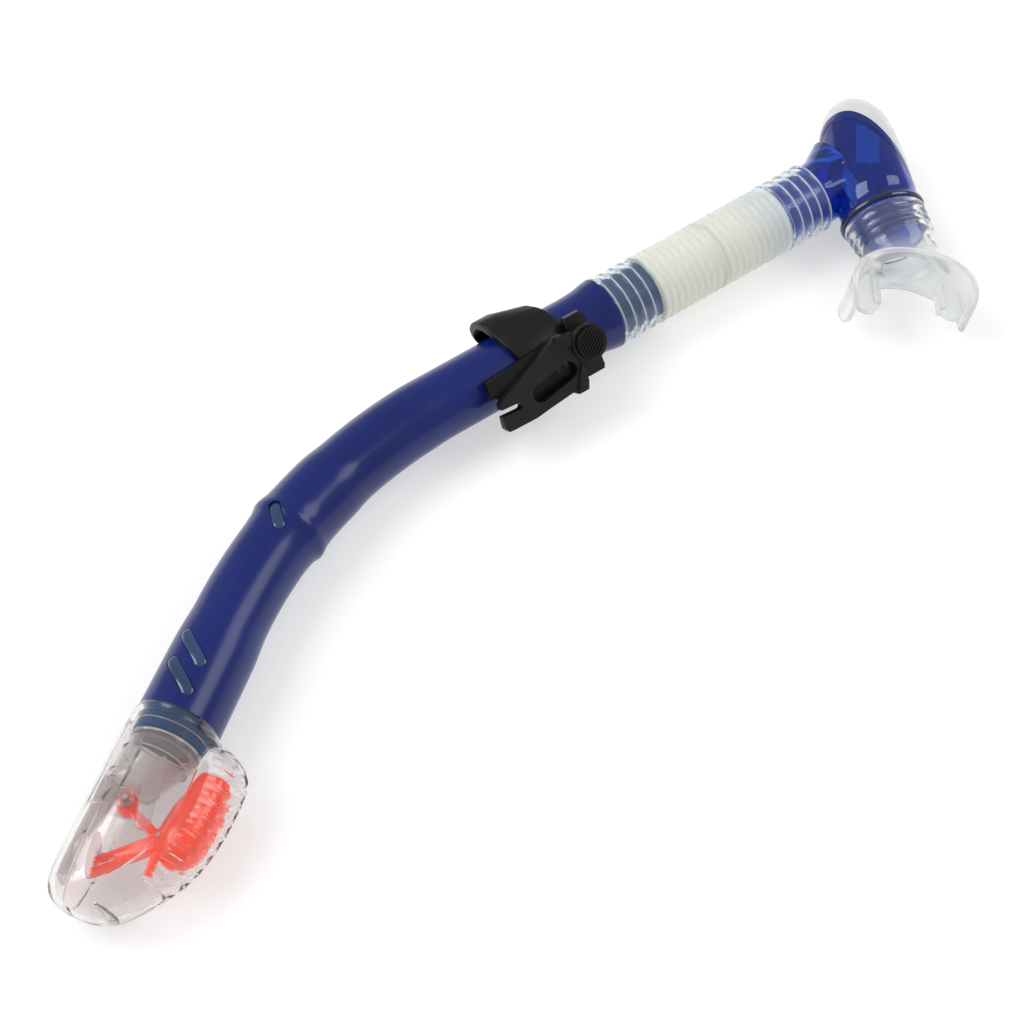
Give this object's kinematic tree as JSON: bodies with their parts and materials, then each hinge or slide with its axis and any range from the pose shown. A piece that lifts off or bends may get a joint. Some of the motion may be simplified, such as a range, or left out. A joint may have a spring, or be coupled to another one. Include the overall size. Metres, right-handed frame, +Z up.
{
  "type": "snorkel tube",
  "caption": "Bent breathing tube with a float-operated dry top, a strap keeper, a ribbed flexible hose, a purge chamber and a silicone mouthpiece.",
  "frame": {"origin": "bottom centre of the bounding box of the part lying on its side", "axes": "+X along the hose towards the mouthpiece, +Y to the outside of the tube's bend, +Z up from the surface it lies on"},
  "size_m": [0.4424, 0.145, 0.0388],
  "materials": {
    "tube_blue": "glossy opaque deep blue",
    "window_blue": "glossy steel blue",
    "clear_shell": "clear rigid plastic with a slight grey tint",
    "clear_duct": "clear rigid plastic",
    "seal_clear": "clear silicone",
    "pin_steel": "bright wire",
    "float_orange": "satin orange-red",
    "flap_silicone": "milky silicone",
    "keeper_black": "satin black",
    "plate_black": "satin dark grey",
    "spring_steel": "bright wire",
    "button_black": "satin black",
    "hose_silicone": "translucent silicone",
    "chamber_blue": "glossy translucent blue",
    "baffle_blue": "glossy blue",
    "seat_blue": "glossy blue",
    "valve_silicone": "milky silicone",
    "cover_white": "frosted white",
    "mouth_silicone": "clear silicone"
  },
  "bodies": {
    "tube": {"main_tube": "tube_blue", "tube_windows": "window_blue", "spigot_o_ring": "seal_clear", "dry_top_shell": "clear_shell", "dry_top_back": "clear_shell", "dry_top_grille": "clear_shell", "air_duct": "clear_duct", "eyelet_pin": "pin_steel"},
    "rocker": {"float_rocker": "float_orange", "float_pin": "pin_steel", "float": "float_orange", "seal_flap": "flap_silicone"},
    "keeper": {"keeper_clip": "keeper_black"},
    "plate": {"strap_plate": "plate_black", "button_spring": "spring_steel"},
    "button": {"release_button": "button_black"},
    "hose": {"corrugated_hose": "hose_silicone"},
    "chamber": {"purge_chamber": "chamber_blue", "purge_baffle": "baffle_blue", "purge_seat": "seat_blue", "purge_cover": "cover_white", "mouthpiece": "mouth_silicone"},
    "valve": {"purge_valve": "valve_silicone"}
  },
  "joints": [
    {"name": "hose_lift", "type": "hinge", "parent": "tube", "child": "hose", "pos_m": [0.10857, 0.04154, 0.017], "axis": [0, 1, 0], "range_deg": [-60, 20], "stiffness_Nm_per_rad": 0.02, "deforming": ["corrugated_hose"]},
    {"name": "hose_swing", "type": "hinge", "parent": "hose", "child": "chamber", "pos_m": [0.13357, 0.04154, 0.017], "axis": [0, 0, 1], "range_deg": [-45, 45], "stiffness_Nm_per_rad": 0.02, "deforming": ["corrugated_hose"]},
    {"name": "float_swing", "type": "hinge", "parent": "tube", "child": "rocker", "pos_m": [-0.18442, -0.03613, 0.017], "axis": [0, 0, -1], "range_deg": [0, 9]},
    {"name": "keeper_slide", "type": "slide", "parent": "tube", "child": "keeper", "axis": [1, 0, 0], "range_m": [-0.018, 0.004]},
    {"name": "plate_swivel", "type": "hinge", "parent": "keeper", "child": "plate", "pos_m": [0.04957, 0.02668, 0.03038], "axis": [0, -0.7431, 0.6691], "range_deg": [-45, 45]},
    {"name": "button_press", "type": "slide", "parent": "plate", "child": "button", "axis": [0, 0.7431, -0.6691], "range_m": [0, 0.0012], "stiffness_N_per_m": 800, "deforming": ["button_spring"]},
    {"name": "purge_lift", "type": "slide", "parent": "chamber", "child": "valve", "axis": [0.8294, 0.23, -0.509], "range_m": [0, 0.0012], "stiffness_N_per_m": 100}
  ]
}
